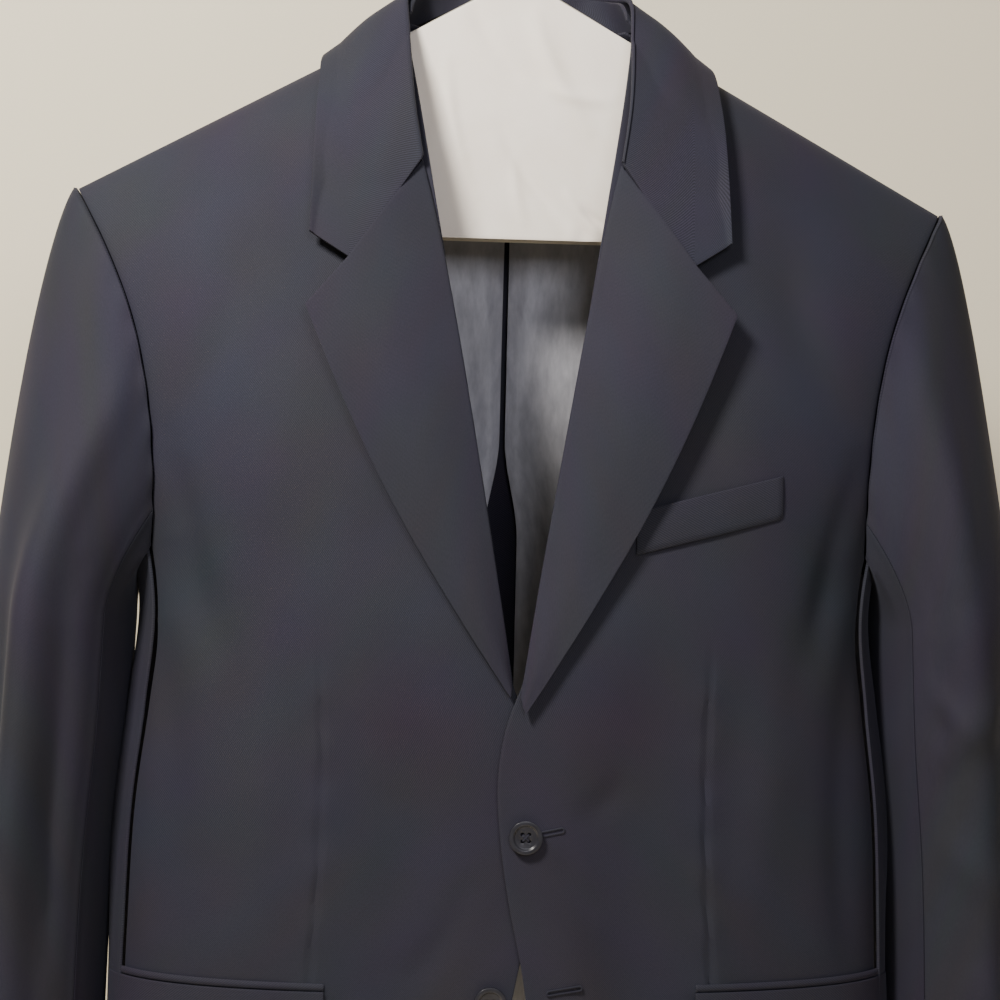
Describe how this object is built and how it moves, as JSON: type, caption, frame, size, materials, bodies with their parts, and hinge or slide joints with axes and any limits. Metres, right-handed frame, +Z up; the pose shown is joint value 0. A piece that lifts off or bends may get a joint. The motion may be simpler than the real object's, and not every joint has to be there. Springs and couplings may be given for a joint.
{
  "type": "suit jacket on a wire hanger",
  "caption": "Single-breasted notch-lapel suit jacket with welt and flap pockets, hung open at the neck on a wire hanger with a paper cover.",
  "frame": {"origin": "underside of the hook's crown, where a rail carries the hanger", "axes": "+Z up, the jacket's front faces -Y, the wearer's left is +X"},
  "size_m": [0.635, 0.1755, 0.8531],
  "materials": {
    "wool": "dark navy worsted, matt",
    "lining": "grey satin lining",
    "button": "dark grey four-hole button, semi-gloss",
    "steel": "drawn steel wire",
    "paper": "white paper, matt"
  },
  "bodies": {
    "root": {"front_left": "wool", "back_left": "wool", "side_left": "wool", "sleeve_upper_left": "wool", "sleeve_under_left": "wool", "lapel_left": "wool", "pocket_jet_left": "wool", "pocket_flap_left": "wool", "lining_back_left": "lining", "front_right": "wool", "back_right": "wool", "side_right": "wool", "sleeve_upper_right": "wool", "sleeve_under_right": "wool", "lapel_right": "wool", "pocket_jet_right": "wool", "pocket_flap_right": "wool", "lining_back_right": "lining", "collar_fall": "wool", "collar_stand": "wool", "breast_welt": "wool", "button_front_top": "button", "button_front_bottom": "button", "hanger_hook": "steel", "hanger_frame": "steel", "paper_front": "paper", "paper_back": "paper"}
  },
  "joints": []
}
